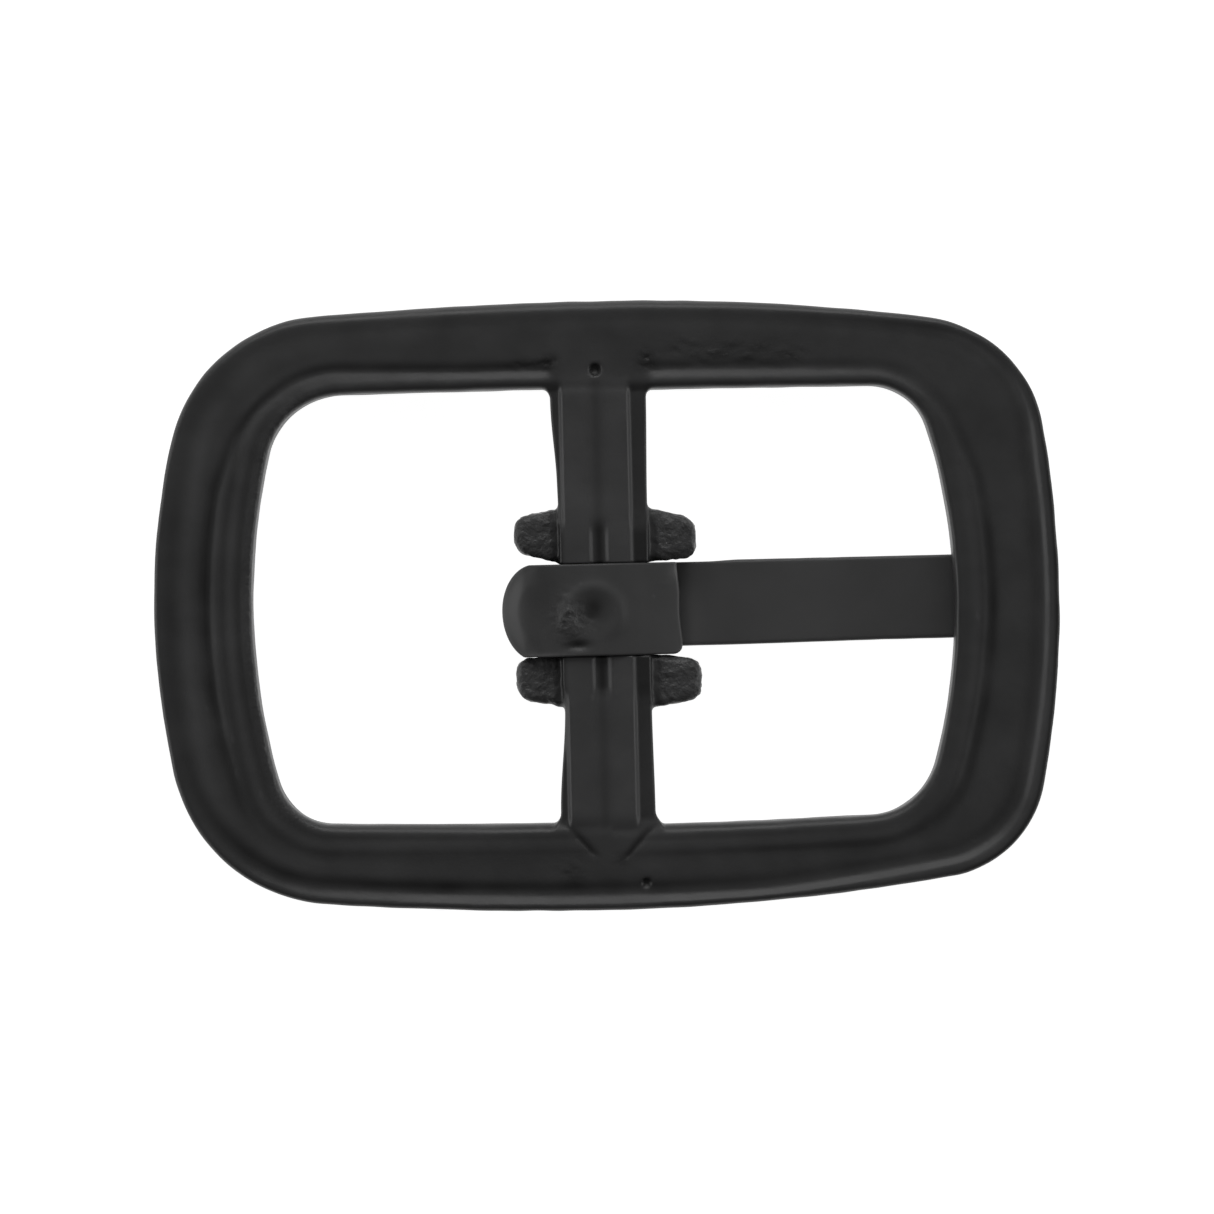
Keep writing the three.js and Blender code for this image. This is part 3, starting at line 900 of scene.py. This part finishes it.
def add_floor():
    """A pale sheet just under the buckle."""
    half = 1.5
    corners = [(-half, -half, 0), (half, -half, 0), (half, half, 0), (-half, half, 0)]
    mesh = bpy.data.meshes.new("floor")
    mesh.from_pydata(corners, [], [(0, 1, 2, 3)])
    floor = bpy.data.objects.new("floor", mesh)
    floor.location.z = -0.2 * MM
    material = bpy.data.materials.new("pale_floor")
    material.use_nodes = True
    shader = material.node_tree.nodes["Principled BSDF"]
    shader.inputs["Base Color"].default_value = (0.3, 0.3, 0.3, 1.0)
    shader.inputs["Roughness"].default_value = 0.9
    shader.inputs["Emission Color"].default_value = (1.0, 1.0, 1.0, 1.0)
    shader.inputs["Emission Strength"].default_value = 0.97
    mesh.materials.append(material)
    bpy.context.scene.collection.objects.link(floor)


def add_softbox(name, location, size, power):
    """A rectangular light that faces the buckle."""
    data = bpy.data.lights.new(name, "AREA")
    data.shape = "RECTANGLE"
    data.size, data.size_y = size
    data.energy = power
    light = bpy.data.objects.new(name, data)
    light.location = location
    light.rotation_euler = (-Vector(location)).to_track_quat("-Z", "Y").to_euler()
    bpy.context.scene.collection.objects.link(light)


def add_world():
    """Faint even light from all round."""
    world = bpy.data.worlds.new("studio")
    world.use_nodes = True
    background = world.node_tree.nodes["Background"]
    background.inputs["Color"].default_value = (1.0, 1.0, 1.0, 1.0)
    background.inputs["Strength"].default_value = 0.1
    bpy.context.scene.world = world


add_camera()
bpy.context.scene.view_settings.view_transform = "Standard"
add_floor()
add_world()
add_softbox("back_light", (0.0, 0.45, 0.3), (0.6, 0.25), 1.4)
add_softbox("left_light", (-0.45, 0.0, 0.13), (0.3, 0.16), 0.5)
add_softbox("right_light", (0.45, 0.0, 0.13), (0.3, 0.16), 0.5)
add_softbox("top_light", (0.0, 0.0, 0.9), (0.35, 0.35), 0.11)

cast_black = satin_black("cast_black", (0.036, 0.036, 0.0365), 0.2, 0.45, 1900.0, 0.04 * MM)
strip_black = satin_black("strip_black", (0.054, 0.054, 0.0545), 0.07, 0.5, 1500.0, 0.02 * MM)

# Grid spacings for the frame, and where they change: fine on the rails and the bar, coarse in the windows.
FINE, MIDDLE, COARSE, EDGE = 0.135, 0.18, 0.3, 0.08
MARGIN = 0.4
LEFT_WINDOW = -20.4
RIGHT_WINDOW = 20.0
BAR_ZONE = 3.2
LUG_ZONE = 5.8
LUG_LOWER = -6.4
LUG_UPPER = 6.2
RAIL_ZONE = 12.4
EDGE_OUT = 0.24
EDGE_IN = 0.16
BACK_START = FLOOR - 0.6
ACROSS_X = [
    (-REACH - MARGIN, LEFT_WINDOW, FINE),
    (LEFT_WINDOW, -LUG_ZONE, COARSE),
    (-LUG_ZONE, -BAR_ZONE, MIDDLE),
    (-BAR_ZONE, BAR_ZONE, FINE),
    (BAR_ZONE, LUG_ZONE, MIDDLE),
    (LUG_ZONE, RIGHT_WINDOW, COARSE),
    (RIGHT_WINDOW, REACH + MARGIN, FINE),
]
ALONG_Y = [
    (-SIDE_REACH - MARGIN, -RAIL_ZONE, FINE),
    (-RAIL_ZONE, LUG_LOWER, COARSE),
    (LUG_LOWER, GAP_BOTTOM - EDGE_OUT, MIDDLE),
    (GAP_BOTTOM - EDGE_OUT, GAP_BOTTOM + EDGE_IN, EDGE),
    (GAP_BOTTOM + EDGE_IN, GAP_TOP - EDGE_IN, COARSE),
    (GAP_TOP - EDGE_IN, GAP_TOP + EDGE_OUT, EDGE),
    (GAP_TOP + EDGE_OUT, LUG_UPPER, MIDDLE),
    (LUG_UPPER, RAIL_ZONE, COARSE),
    (RAIL_ZONE, SIDE_REACH + MARGIN, FINE),
]
UPWARDS = [(-MARGIN, BAR_FRONT, COARSE), (BAR_FRONT, BACK_START, 0.25), (BACK_START, RIM_TOP + MARGIN, FINE)]
frame_piece = make_piece(
    "buckle_frame",
    frame_field,
    frame_tone,
    frame_torn,
    grid_line(ACROSS_X),
    grid_line(ALONG_Y),
    grid_line(UPWARDS),
    FINE,
)
frame_piece.data.materials.append(cast_black)
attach(frame_piece, "frame")
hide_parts("frame")

# Grid spacings for the prong: fine on the loop and along its two edges, coarse along the tongue.
STRIP_FINE = 0.12
STRIP_EDGE = 0.06
STRIP_TIP = 0.15
STRIP_MARGIN = 0.3
LOOP_ZONE = 5.5
TIP_ZONE = TONGUE_TIP - 3.0
PRONG_X = [
    (LOOP_LEFT - MARGIN, LOOP_ZONE, STRIP_FINE),
    (LOOP_ZONE, TIP_ZONE, COARSE),
    (TIP_ZONE, TONGUE_TIP + MARGIN, STRIP_TIP),
]
PRONG_Y = [
    (GAP_BOTTOM - STRIP_MARGIN, GAP_BOTTOM + STRIP_MARGIN, STRIP_EDGE),
    (GAP_BOTTOM + STRIP_MARGIN, GAP_TOP - STRIP_MARGIN, STRIP_FINE),
    (GAP_TOP - STRIP_MARGIN, GAP_TOP + STRIP_MARGIN, STRIP_EDGE),
]
PRONG_Z = [(STRIP_FRONT - STRIP_MARGIN, LOOP_TOP + MARGIN, STRIP_FINE)]
prong_piece = make_piece(
    "prong_tongue",
    prong_field,
    prong_tone,
    prong_torn,
    grid_line(PRONG_X),
    grid_line(PRONG_Y),
    grid_line(PRONG_Z),
    STRIP_FINE,
)
prong_piece.data.materials.append(strip_black)
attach(prong_piece, "prong")
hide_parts("prong")
